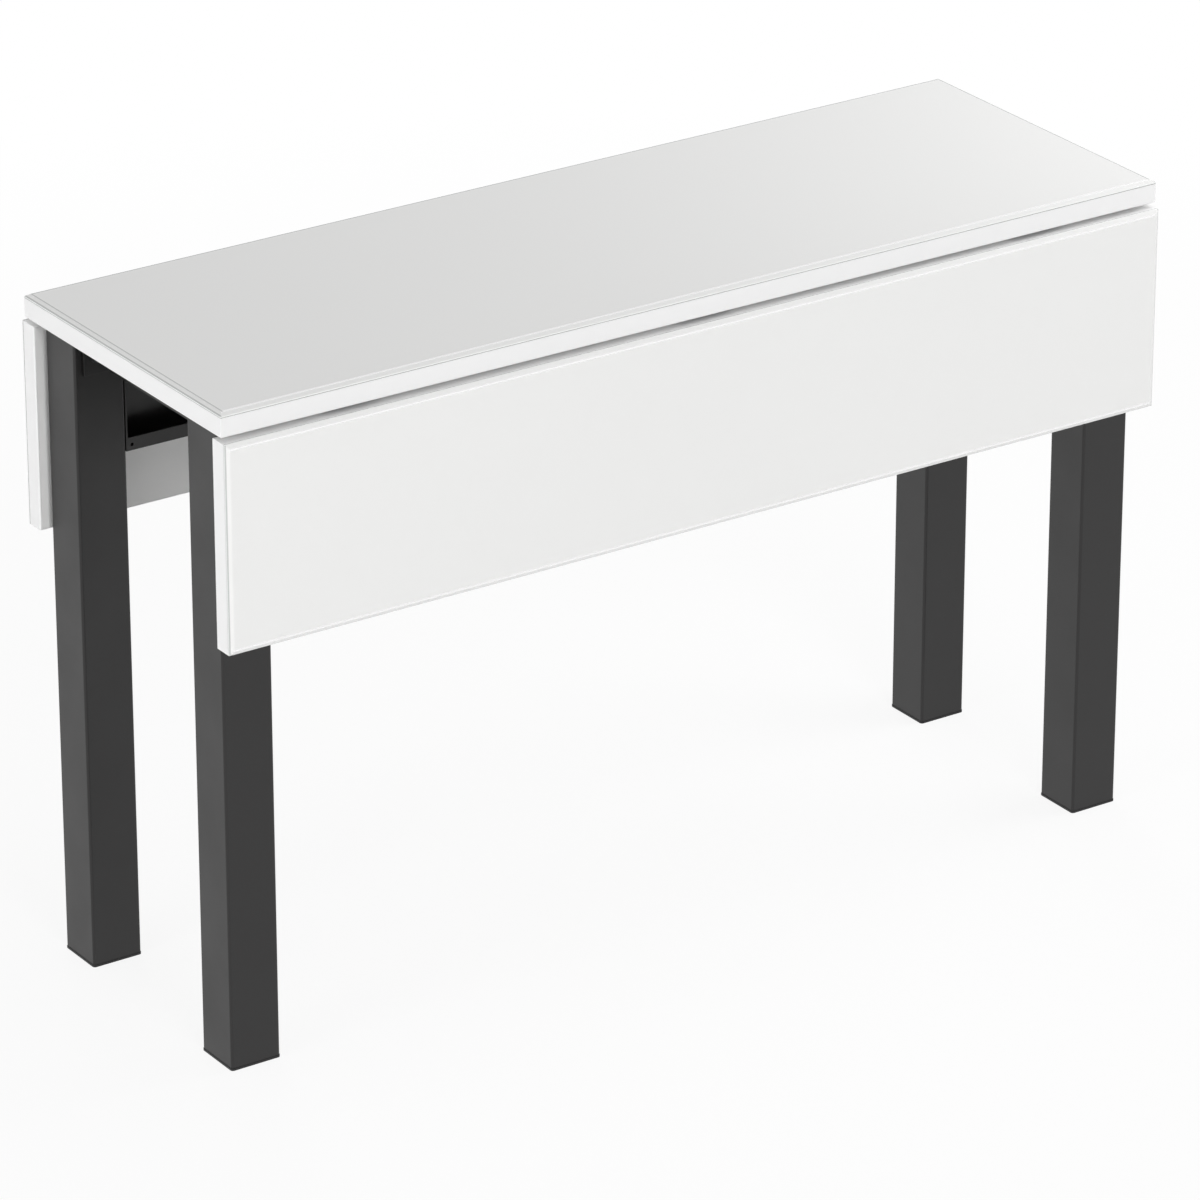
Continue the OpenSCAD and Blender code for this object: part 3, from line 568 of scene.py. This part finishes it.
class GeometryGraph(Graph):
    """A geometry tree with named inputs, which ends in real mesh with one material."""

    def __init__(self, name, floats):
        super().__init__(bpy.data.node_groups.new(name, "GeometryNodeTree"))
        face = self.tree.interface
        face.new_socket("Geometry", in_out="INPUT", socket_type="NodeSocketGeometry")
        face.new_socket("Geometry", in_out="OUTPUT", socket_type="NodeSocketGeometry")
        kinds = {label: "NodeSocketFloat" for label in floats}
        kinds["Seed"] = "NodeSocketInt"
        kinds["Material"] = "NodeSocketMaterial"
        self.keys = {}
        for label, kind in kinds.items():
            self.keys[label] = face.new_socket(label, in_out="INPUT", socket_type=kind).identifier
        self.given = self.add("NodeGroupInput")

    def value(self, label):
        return self.given.side(label)

    def moved(self, shape, z=0.0, turn=0.0):
        where = self.add("ShaderNodeCombineXYZ", None, {"Z": z})
        spin = self.add("ShaderNodeCombineXYZ", None, {"Z": turn})
        return self.add(
            "GeometryNodeTransform", None,
            {"Geometry": shape, "Translation": where, "Rotation": spin},
        )

    def cone(self, first_radius, last_radius, first, last, sides=28):
        """A cone or cylinder along Z, from first to last."""
        shape = self.add(
            "GeometryNodeMeshCone", {"fill_type": "NGON"},
            {"Vertices": sides, "Radius Bottom": first_radius, "Radius Top": last_radius,
             "Depth": last - first},
        )
        return self.moved(shape, z=first)

    def dome(self, radius, rise, height):
        """A round head whose domed face starts at z = 0 and whose foot is at height."""
        ball = (radius * radius + rise * rise) / (2 * rise)
        sphere = self.add(
            "GeometryNodeMeshUVSphere", None, {"Segments": 32, "Rings": 40, "Radius": ball}
        )
        above = 1 * MM
        return self.shared(
            self.moved(sphere, z=ball), self.cone(radius, radius, -above, height, sides=32)
        )

    def hexagon(self, radius, first, last, outer):
        """A hexagonal head or nut, chamfered at the end that outer names."""
        crown_share, slope = 0.84, 1.73
        prism = self.cone(radius, radius, first, last, sides=6)
        crown = radius * crown_share
        grown = crown + (last - first) * slope
        ends = (crown, grown) if outer == "first" else (grown, crown)
        return self.shared(prism, self.cone(*ends, first, last, sides=36))

    def box(self, x, y, z):
        size = self.add("ShaderNodeCombineXYZ", None, {"X": x, "Y": y, "Z": z})
        return self.add("GeometryNodeMeshCube", None, {"Size": size})

    def join(self, shapes):
        return self.add("GeometryNodeJoinGeometry", None, {"Geometry": shapes})

    def cut(self, shape, tools):
        settings = {"operation": "DIFFERENCE", "solver": "EXACT"}
        return self.add("GeometryNodeMeshBoolean", settings, {0: shape, 1: tools})

    def shared(self, shape, other):
        settings = {"operation": "INTERSECT", "solver": "EXACT"}
        return self.add("GeometryNodeMeshBoolean", settings, {1: [shape, other]})

    def cross_recess(self, head, radius):
        """Cuts the cross for a driver into a head whose face is at z = 0."""
        reach = radius * 1.15
        slot = self.box(reach, self.value("Recess width"), self.value("Recess depth") * 2)
        return self.cut(head, [slot, self.moved(slot, turn=math.pi / 2)])

    def thread(self, radius, crest, pitch, first, last, around=12):
        """A helical ridge of triangular section."""
        rise = last - first
        line = self.add(
            "GeometryNodeCurveSpiral", None,
            {"Resolution": around, "Rotations": rise / pitch, "Start Radius": radius,
             "End Radius": radius, "Height": rise},
        )
        section = self.add(
            "GeometryNodeCurvePrimitiveCircle", {"mode": "RADIUS"},
            {"Resolution": 3, "Radius": crest},
        )
        ridge = self.add(
            "GeometryNodeCurveToMesh", None,
            {"Curve": line, "Profile Curve": section, "Fill Caps": True},
        )
        return self.moved(ridge, z=first)

    def random(self, low, high):
        """A number of its own for every point: sockets 2 and 3 are the bounds of a float."""
        return self.add(
            "FunctionNodeRandomValue", {"data_type": "FLOAT"},
            {2: low, 3: high, "Seed": self.value("Seed")}, out=1,
        )

    def on_points(self, shape):
        """Puts the shape, drawn with its head at the origin and its tip along Z, on every point."""
        way = self.add(
            "GeometryNodeInputNamedAttribute", {"data_type": "FLOAT_VECTOR"}, {"Name": "way"}
        )
        aimed = self.add("FunctionNodeAlignRotationToVector", {"axis": "Z"}, {"Vector": way})
        spin = self.random(low=0.0, high=math.tau)
        own = self.add("FunctionNodeAxisAngleToRotation", None, {"Axis": (0, 0, 1), "Angle": spin})
        turned = self.add(
            "FunctionNodeRotateRotation", {"rotation_space": "LOCAL"},
            {"Rotation": aimed, "Rotate By": own},
        )
        return self.add(
            "GeometryNodeInstanceOnPoints", None,
            {"Points": self.value("Geometry"), "Instance": shape, "Rotation": turned},
        )

    def close(self, shape):
        """Ends the tree: its instances become real mesh and take the material."""
        solid = self.add("GeometryNodeRealizeInstances", None, {"Geometry": shape})
        done = self.add(
            "GeometryNodeSetMaterial", None, {"Geometry": solid, "Material": self.value("Material")}
        )
        self.add("NodeGroupOutput", None, {"Geometry": done})


def wood_screw_tree(name, domed):
    """A wood screw with a cross recess, its head domed or countersunk."""
    graph = GeometryGraph(name, [
        "Head radius", "Shank radius", "Head height", "Length",
        "Recess width", "Recess depth", "Pitch",
    ])
    head_r = graph.value("Head radius")
    shank_r = graph.value("Shank radius")
    head_h = graph.value("Head height")
    full = graph.value("Length")
    rise_share, core_share, crest_share, tip_share = 0.6, 0.72, 0.28, 0.2
    core_from, neck, thread_from, point = 1 * MM, 2 * MM, 2.5 * MM, 3 * MM
    if domed:
        head = graph.dome(head_r, head_h * rise_share, head_h)
    else:
        head = graph.cone(head_r, shank_r, 0.0, head_h)
    core = shank_r * core_share
    crest = shank_r * crest_share
    tip = full - point
    graph.close(graph.on_points(graph.join([
        graph.cross_recess(head, head_r),
        graph.cone(shank_r, shank_r, head_h, head_h + neck, sides=16),
        graph.cone(core, core, head_h + core_from, tip, sides=12),
        graph.cone(core, core * tip_share, tip, full, sides=12),
        graph.thread(core, crest, graph.value("Pitch"), head_h + thread_from, tip),
    ])))
    return graph


def frame_bolt_tree():
    """A hexagon bolt with a chamfered head, a washer and a thread."""
    graph = GeometryGraph("Frame bolt", [
        "Head radius", "Shank radius", "Head height", "Length", "Pitch",
    ])
    head_r = graph.value("Head radius")
    shank_r = graph.value("Shank radius")
    head_h = graph.value("Head height")
    full = graph.value("Length")
    washer, washer_top, washer_foot = 0.8 * MM, 1.08, 1.12
    groove, crest, point, runout = 0.35 * MM, 0.4 * MM, 0.5 * MM, 0.8 * MM
    core = shank_r - groove
    under = head_h - washer
    graph.close(graph.on_points(graph.join([
        graph.hexagon(head_r, 0.0, under, "first"),
        graph.cone(head_r * washer_top, head_r * washer_foot, under, head_h, sides=36),
        graph.cone(core, core, head_h, full - point, sides=20),
        graph.cone(core, core - point, full - point, full, sides=20),
        graph.thread(core, crest, graph.value("Pitch"), head_h, full - runout, around=16),
    ])))
    return graph


def guide_bolt_tree():
    """A button-head bolt with a hexagon socket, and its nut inside the apron."""
    graph = GeometryGraph("Guide bolt", [
        "Head radius", "Shank radius", "Head height", "Length", "Grip", "Nut radius", "Nut height",
        "Pitch",
    ])
    head_r = graph.value("Head radius")
    shank_r = graph.value("Shank radius")
    head_h = graph.value("Head height")
    full = graph.value("Length")
    nut_from = head_h + graph.value("Grip")
    nut_to = nut_from + graph.value("Nut height")
    mouth, floor, above, rise_share, socket_share = 1.5 * MM, 1.3 * MM, 1 * MM, 0.7, 0.65
    groove, crest, lead, runout = 0.3 * MM, 0.35 * MM, 0.5 * MM, 0.3 * MM
    socket = graph.cone(mouth, floor, -above, head_h * socket_share, sides=6)
    core = shank_r - groove
    pitch = graph.value("Pitch")
    graph.close(graph.on_points(graph.join([
        graph.cut(graph.dome(head_r, head_h * rise_share, head_h), [socket]),
        graph.cone(core, core, head_h, full, sides=20),
        graph.hexagon(graph.value("Nut radius"), nut_from, nut_to, "last"),
        graph.thread(core, crest, pitch, nut_to - lead, full - runout, around=16),
    ])))
    return graph


def weld_tree():
    """Overlapping flat beads laid along every line of the mesh, as a weld's ripples."""
    graph = GeometryGraph("Weld seam", ["Width", "Step"])
    lines = graph.add("GeometryNodeMeshToCurve", None, {"Mesh": graph.value("Geometry")})
    steps = graph.add(
        "GeometryNodeResampleCurve", {"mode": "LENGTH"},
        {"Curve": lines, "Length": graph.value("Step")},
    )
    radius = graph.value("Width") / 2
    bead = graph.add("GeometryNodeMeshIcoSphere", None, {"Radius": radius, "Subdivisions": 3})
    swell = graph.random(low=0.86, high=1.12)
    squat = graph.add("ShaderNodeCombineXYZ", None, {"X": swell, "Y": swell, "Z": 0.62})
    graph.close(graph.add(
        "GeometryNodeInstanceOnPoints", None,
        {"Points": steps, "Instance": bead, "Scale": squat},
    ))
    return graph


def bake(name, graph, start, values, body):
    """Runs a geometry tree on the start mesh and leaves one plain mesh that rides on a body."""
    piece = bpy.data.objects.new(name, start)
    bpy.context.scene.collection.objects.link(piece)
    modifier = piece.modifiers.new("Build", "NODES")
    modifier.node_group = graph.tree
    for label, value in values.items():
        modifier[graph.keys[label]] = value
    built = piece.evaluated_get(bpy.context.evaluated_depsgraph_get())
    mesh = bpy.data.meshes.new_from_object(built)
    piece.modifiers.remove(modifier)
    piece.data = mesh
    if not mesh.polygons:
        raise RuntimeError(f"{name} came out empty")
    mesh.materials.clear()
    mesh.materials.append(values["Material"])
    mesh.polygons.foreach_set("material_index", [0] * len(mesh.polygons))
    mesh.shade_smooth()
    mesh.set_sharp_from_angle(angle=SMOOTH_ANGLE)
    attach(piece, body)
    return piece


def points_mesh(name, fasteners):
    """A mesh of loose points with the way that each fastener runs."""
    mesh = bpy.data.meshes.new(name)
    mesh.from_pydata([f.place for f in fasteners], [], [])
    ways = mesh.attributes.new("way", "FLOAT_VECTOR", "POINT")
    ways.data.foreach_set("vector", [c for f in fasteners for c in f.way])
    return mesh


def joined(name, pieces, body, replaced):
    """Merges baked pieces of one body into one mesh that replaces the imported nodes."""
    mesh = bpy.data.meshes.new(name)
    work = bmesh.new()
    for number, piece in enumerate(pieces):
        done = len(work.faces)
        work.from_mesh(piece.data)
        work.faces.ensure_lookup_table()
        for face in work.faces[done:]:
            face.material_index = number
        mesh.materials.append(piece.data.materials[0])
    work.to_mesh(mesh)
    work.free()
    for piece in pieces:
        bpy.data.objects.remove(piece)
    whole = bpy.data.objects.new(name, mesh)
    bpy.context.scene.collection.objects.link(whole)
    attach(whole, body)
    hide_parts(*replaced)


class TABLE_OT_glass_plates(bpy.types.Operator):
    """Paints the three glass plates and polishes their bevels"""

    bl_idname = "table_piece.glass_plates"
    bl_label = "Glass plates"

    def execute(self, context):
        sizes = context.scene.table_sizes
        for part, (across, thick, outward) in PLATES.items():
            node = f"{part}_glass"
            finish = "painted_glass_top" if part == "centre" else f"painted_glass_{part}"
            dress(node, painted_glass(finish, node, across, thick, outward))
            soften(node, sizes.glass_arris)
        return {"FINISHED"}


class TABLE_OT_boards(bpy.types.Operator):
    """Covers the boards with laminate and their edges with banding"""

    bl_idname = "table_piece.boards"
    bl_label = "Boards and edge banding"

    def execute(self, context):
        finishes = context.scene.table_finishes
        sizes = context.scene.table_sizes
        skin = laminate("white_laminate", finishes.laminate)
        for part, (across, _, _) in PLATES.items():
            dress(f"{part}_board", skin)
            band = f"{part}_edge_band"
            dress(band, edge_banding(f"banding_{part}", band, across))
            soften(band, sizes.band_round)
        return {"FINISHED"}


class TABLE_OT_frame(bpy.types.Operator):
    """Coats the legs, their plates, the aprons and the end rails"""

    bl_idname = "table_piece.frame"
    bl_label = "Legs, aprons and rails"

    def execute(self, context):
        sizes = context.scene.table_sizes
        coat = powder_coat("graphite_powder_coat")
        for corner in CORNERS:
            dress(f"leg_{corner}", coat)
            dress(f"leg_plate_{corner}", coat)
            soften(f"leg_plate_{corner}", sizes.sheet_round)
        for name in ("front_apron", "rear_apron", "left_end_rail", "right_end_rail"):
            dress(name, coat)
            soften(name, sizes.sheet_round)
        return {"FINISHED"}


class TABLE_OT_foot_caps(bpy.types.Operator):
    """Moulds the plastic caps under the legs"""

    bl_idname = "table_piece.foot_caps"
    bl_label = "Foot caps"

    def execute(self, context):
        finishes = context.scene.table_finishes
        plastic = moulded("black_plastic", finishes.cap, roughness=0.5, scale=1500.0)
        for corner in CORNERS:
            dress(f"foot_cap_{corner}", plastic)
            soften(f"foot_cap_{corner}", context.scene.table_sizes.sheet_round)
        return {"FINISHED"}


class TABLE_OT_hinges(bpy.types.Operator):
    """Plates the hinges of both leaves"""

    bl_idname = "table_piece.hinges"
    bl_label = "Hinges"

    def execute(self, context):
        sizes = context.scene.table_sizes
        plate = zinc_plate("zinc_hinge_plate", brush=(0.2, 3.0, 3.0))
        pin = zinc_plate("zinc_hinge_pin", brush=(0.3, 2.0, 2.0))
        for side in SIDES:
            for part in ("top", "leaf"):
                dress(f"{side}_hinge_{part}_plates", plate)
                soften(f"{side}_hinge_{part}_plates", sizes.sheet_round)
            dress(f"{side}_hinge_pins", pin)
            soften(f"{side}_hinge_pins", sizes.sheet_round)
        return {"FINISHED"}


class TABLE_OT_folding_brackets(bpy.types.Operator):
    """Plates the guide channels, struts, their pins and the leaf brackets"""

    bl_idname = "table_piece.folding_brackets"
    bl_label = "Folding brackets"

    def execute(self, context):
        sizes = context.scene.table_sizes
        upright = zinc_plate("zinc_upright_sheet", brush=(3.0, 3.0, 0.2))
        flat = zinc_plate("zinc_bracket_sheet", brush=(0.3, 3.0, 0.3))
        pin = zinc_plate("zinc_strut_pin", brush=(0.3, 2.0, 2.0))
        for corner in CORNERS:
            for part, metal in (
                ("guide_channel", upright), ("strut", upright), ("leaf_bracket", flat),
                ("strut_pins", pin),
            ):
                dress(f"{corner}_{part}", metal)
                soften(f"{corner}_{part}", sizes.sheet_round)
        return {"FINISHED"}


class TABLE_OT_buffers(bpy.types.Operator):
    """Gives the leaf buffers their rubber"""

    bl_idname = "table_piece.buffers"
    bl_label = "Rubber buffers"

    def execute(self, context):
        finishes = context.scene.table_finishes
        rubber = moulded("black_rubber", finishes.rubber, roughness=0.68, scale=900.0)
        for side in SIDES:
            dress(f"{side}_leaf_buffers", rubber)
            soften(f"{side}_leaf_buffers", context.scene.table_sizes.sheet_round)
        return {"FINISHED"}


class TABLE_OT_wood_screws(bpy.types.Operator):
    """Builds the wood screws of the frame, the hinges and the leaf brackets"""

    bl_idname = "table_piece.wood_screws"
    bl_label = "Wood screws"

    def execute(self, context):
        sizes = context.scene.table_sizes
        zinc = zinc_plate("zinc_screw")
        black = blackened_steel("blackened_screw")
        trees = {
            "sunk": (wood_screw_tree("Countersunk screw", False), sizes.screw_sink),
            "domed": (wood_screw_tree("Domed screw", True), sizes.pan_height),
        }
        groups = {
            "frame_wood_screws": ("frame", ["top_fixing_screws", "hinge_top_screws"]),
            "front_leaf_wood_screws": ("front_leaf", ["front_leaf_screws"]),
            "rear_leaf_wood_screws": ("rear_leaf", ["rear_leaf_screws"]),
        }
        for name, (body, nodes) in groups.items():
            screws = [Fastener(solid) for node in nodes for solid in solids_of(node)]
            if not screws:
                raise RuntimeError(f"{name}: no screws found")
            parts = []
            for kind, (graph, head_h) in trees.items():
                some = [screw for screw in screws if screw.domed == (kind == "domed")]
                if not some:
                    continue
                steel = black if kind == "domed" and name == "frame_wood_screws" else zinc
                parts.append(bake(f"{name}_{kind}", graph, points_mesh(name, some), {
                    "Head radius": some[0].radius, "Shank radius": sizes.screw_shank,
                    "Head height": head_h, "Length": some[0].length,
                    "Recess width": sizes.recess_width, "Recess depth": sizes.recess_depth,
                    "Pitch": sizes.thread_pitch, "Seed": sizes.seed, "Material": steel,
                }, body))
            joined(name, parts, body, nodes)
        return {"FINISHED"}


class TABLE_OT_frame_bolts(bpy.types.Operator):
    """Builds the bolts that hold aprons and end rails to the legs"""

    bl_idname = "table_piece.frame_bolts"
    bl_label = "Frame bolts and nuts"

    def execute(self, context):
        sizes = context.scene.table_sizes
        steel = blackened_steel("blackened_bolt")
        dress("frame_weld_nuts", steel)
        soften("frame_weld_nuts", sizes.sheet_round)
        bolts = [Fastener(solid) for solid in solids_of("frame_bolts")]
        parts = []
        graph = frame_bolt_tree()
        for full in sorted({round(bolt.length, 5) for bolt in bolts}):
            some = [bolt for bolt in bolts if abs(bolt.length - full) < NEAR]
            parts.append(bake(f"frame_bolt_set_{len(parts)}", graph, points_mesh("bolts", some), {
                "Head radius": some[0].radius, "Shank radius": sizes.bolt_shank,
                "Head height": sizes.bolt_head, "Length": full, "Pitch": sizes.bolt_pitch,
                "Seed": sizes.seed, "Material": steel,
            }, "frame"))
        joined("hexagon_frame_bolts", parts, "frame", ["frame_bolts"])
        return {"FINISHED"}


class TABLE_OT_guide_bolts(bpy.types.Operator):
    """Builds the bolts and nuts that hold the guide channels to the aprons"""

    bl_idname = "table_piece.guide_bolts"
    bl_label = "Guide channel bolts"

    def execute(self, context):
        sizes = context.scene.table_sizes
        steel = zinc_plate("zinc_guide_bolt")
        bolts = [Fastener(solid) for solid in solids_of("guide_channel_bolts")]
        part = bake("guide_bolt_set", guide_bolt_tree(), points_mesh("bolts", bolts), {
            "Head radius": bolts[0].face_radius, "Shank radius": sizes.guide_shank,
            "Head height": sizes.guide_head, "Length": bolts[0].length,
            "Grip": sizes.guide_grip, "Nut radius": bolts[0].radius, "Nut height": sizes.guide_nut,
            "Pitch": sizes.bolt_pitch, "Seed": sizes.seed, "Material": steel,
        }, "frame")
        joined("button_head_guide_bolts", [part], "frame", ["guide_channel_bolts"])
        return {"FINISHED"}


class TABLE_OT_welds(bpy.types.Operator):
    """Lays the weld seams between the end rails and their end plates"""

    bl_idname = "table_piece.welds"
    bl_label = "Weld seams"

    def execute(self, context):
        sizes = context.scene.table_sizes
        least_rail, least_plate, margin = 15 * MM, 1 * MM, 2 * MM
        lines = []
        for hand, way in zip(HANDS, (-1, 1)):
            node = f"{hand}_end_rail"
            low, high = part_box(node)
            # The rail's hollow is a small solid of its own, and its outside has the most corners
            corners = max(solids_of(node), key=len)
            steps = sorted({round(abs(p.x), 5) for p in corners})
            rail_x = way * next(x for x in steps if x > steps[0] + least_rail)
            plate_y = max(abs(p.y) for p in corners if abs(p.y) < high[1] - least_plate)
            for y in (-plate_y, plate_y):
                lines.append([(rail_x, y, low[2] + margin), (rail_x, y, high[2] - margin)])
        mesh = bpy.data.meshes.new("weld lines")
        mesh.from_pydata(
            [point for line in lines for point in line],
            [(2 * i, 2 * i + 1) for i in range(len(lines))], [],
        )
        piece = bake("end_rail_weld_seams", weld_tree(), mesh, {
            "Width": sizes.weld_width, "Step": sizes.weld_step, "Seed": sizes.seed,
            "Material": bpy.data.materials["graphite_powder_coat"],
        }, "frame")
        return {"FINISHED"}


# Where each lamp stands, what it points at and how wide it is
LAMPS = {
    "front": ((-1.2, -6.6, 3.6), (0, 0, 0.5), 3.0),
    "right": ((1.5, -0.3, 1.75), (0.7, 0, 0.76), 1.0),
    "left": ((-4.2, -0.7, 0.9), (-0.6, 0, 0.45), 1.6),
    "rear": ((2.2, 6.3, 1.6), (0, 0, 0.5), 3.0),
}


class TABLE_OT_studio(bpy.types.Operator):
    """Sets the floor, the white surroundings, four soft lamps and the camera"""

    bl_idname = "table_piece.studio"
    bl_label = "Studio"

    def seen(self, graph):
        """1 for a ray that shows the surroundings, 0 for one that only carries light."""
        path = graph.add("ShaderNodeLightPath", out="Is Camera Ray")
        return path.at_least(path.side("Is Glossy Ray")).at_least(path.side("Is Transmission Ray"))

    def make_floor(self, tint):
        """A floor that keeps the table's shadow near it and turns white farther out."""
        below, near, fade, near_white = 0.2 * MM, 0.9, 1.6, 0.88
        work = bmesh.new()
        bmesh.ops.create_grid(work, x_segments=4, y_segments=4, size=30)
        mesh = bpy.data.meshes.new("floor")
        bmesh.ops.translate(work, verts=work.verts, vec=(0, 0, -below))
        work.to_mesh(mesh)
        work.free()
        floor = bpy.data.objects.new("floor", mesh)
        bpy.context.scene.collection.objects.link(floor)
        material, graph = new_material("studio_floor")
        away = graph.add("ShaderNodeVectorMath", {"operation": "LENGTH"}, {0: graph.where()}, out=1)
        far = ((away - near) / fade).at_least(0).at_most(1)
        share_white = near_white + (1 - near_white) * far
        matt = graph.add(
            "ShaderNodeBsdfPrincipled", None,
            {"Base Color": (*tint, 1.0), "Roughness": 1.0, "Specular IOR Level": 0.0},
        )
        white = graph.add("ShaderNodeEmission", None, {"Color": (1, 1, 1, 1), "Strength": 1.0})
        surface = graph.add(
            "ShaderNodeMixShader", None,
            {0: self.seen(graph) * share_white, 1: matt, 2: white},
        )
        graph.add("ShaderNodeOutputMaterial", None, {"Surface": surface})
        mesh.materials.append(material)

    def make_world(self, ambient):
        """A world that is seen white and lights the table more softly."""
        world = bpy.data.worlds.new("studio")
        world.use_nodes = True
        world.node_tree.nodes.clear()
        bpy.context.scene.world = world
        graph = Graph(world.node_tree)
        strength = ambient + (1.0 - ambient) * self.seen(graph)
        light = graph.add(
            "ShaderNodeBackground", None, {"Color": (1, 1, 1, 1), "Strength": strength}
        )
        graph.add("ShaderNodeOutputWorld", None, {"Surface": light})

    def make_lamp(self, name, place, aim, size, power):
        """A round lamp that isn't mirrored in the glass."""
        data = bpy.data.lights.new(name, "AREA")
        data.shape = "DISK"
        data.size = size
        data.energy = power
        lamp = bpy.data.objects.new(name, data)
        lamp.location = place
        lamp.rotation_euler = (Vector(aim) - Vector(place)).to_track_quat("-Z", "Y").to_euler()
        lamp.visible_glossy = False
        bpy.context.scene.collection.objects.link(lamp)

    def make_camera(self, studio):
        """A camera in front of the table's left end, looking down on it."""
        data = bpy.data.cameras.new("camera")
        data.lens = studio.lens
        data.sensor_width = studio.sensor
        data.clip_end = 200
        camera = bpy.data.objects.new("camera", data)
        flat = math.cos(studio.elevation) * studio.distance
        camera.location = (
            -math.sin(studio.azimuth) * flat,
            studio.aim_depth - math.cos(studio.azimuth) * flat,
            studio.aim_height + math.sin(studio.elevation) * studio.distance,
        )
        camera.rotation_euler = (math.pi / 2 - studio.elevation, 0, -studio.azimuth)
        bpy.context.scene.collection.objects.link(camera)
        bpy.context.scene.camera = camera

    def execute(self, context):
        studio = context.scene.table_studio
        self.make_floor(studio.floor)
        self.make_world(studio.ambient)
        for name, (place, aim, size) in LAMPS.items():
            self.make_lamp(f"{name} lamp", place, aim, size, getattr(studio, f"{name}_power"))
        self.make_camera(studio)
        context.scene.view_settings.view_transform = "Standard"
        return {"FINISHED"}


STEPS = (
    TABLE_OT_glass_plates,
    TABLE_OT_boards,
    TABLE_OT_frame,
    TABLE_OT_foot_caps,
    TABLE_OT_hinges,
    TABLE_OT_folding_brackets,
    TABLE_OT_buffers,
    TABLE_OT_wood_screws,
    TABLE_OT_frame_bolts,
    TABLE_OT_guide_bolts,
    TABLE_OT_welds,
    TABLE_OT_studio,
)


class TABLE_PT_steps(bpy.types.Panel):
    """Lists the steps that dress the table"""

    bl_idname = "TABLE_PT_steps"
    bl_label = "Drop-leaf table"
    bl_space_type = "VIEW_3D"
    bl_region_type = "UI"
    bl_category = "Table"

    def draw(self, context):
        for step in STEPS:
            self.layout.operator(step.bl_idname)
        for group in (
            context.scene.table_finishes, context.scene.table_sizes, context.scene.table_studio
        ):
            column = self.layout.column(align=True)
            for name in group.__annotations__:
                column.prop(group, name)


GROUPS = {
    "table_finishes": TableFinishes, "table_sizes": TableSizes, "table_studio": StudioSettings,
}


def register():
    for group in GROUPS.values():
        bpy.utils.register_class(group)
    for name, group in GROUPS.items():
        setattr(bpy.types.Scene, name, PointerProperty(type=group))
    for one in (*STEPS, TABLE_PT_steps):
        bpy.utils.register_class(one)


def unregister():
    for one in (TABLE_PT_steps, *STEPS[::-1]):
        bpy.utils.unregister_class(one)
    for name, group in GROUPS.items():
        delattr(bpy.types.Scene, name)
        bpy.utils.unregister_class(group)


def main():
    """Builds everything."""
    register()
    for step in STEPS:
        group, name = step.bl_idname.split(".")
        getattr(getattr(bpy.ops, group), name)()


if __name__ == "__main__":
    main()
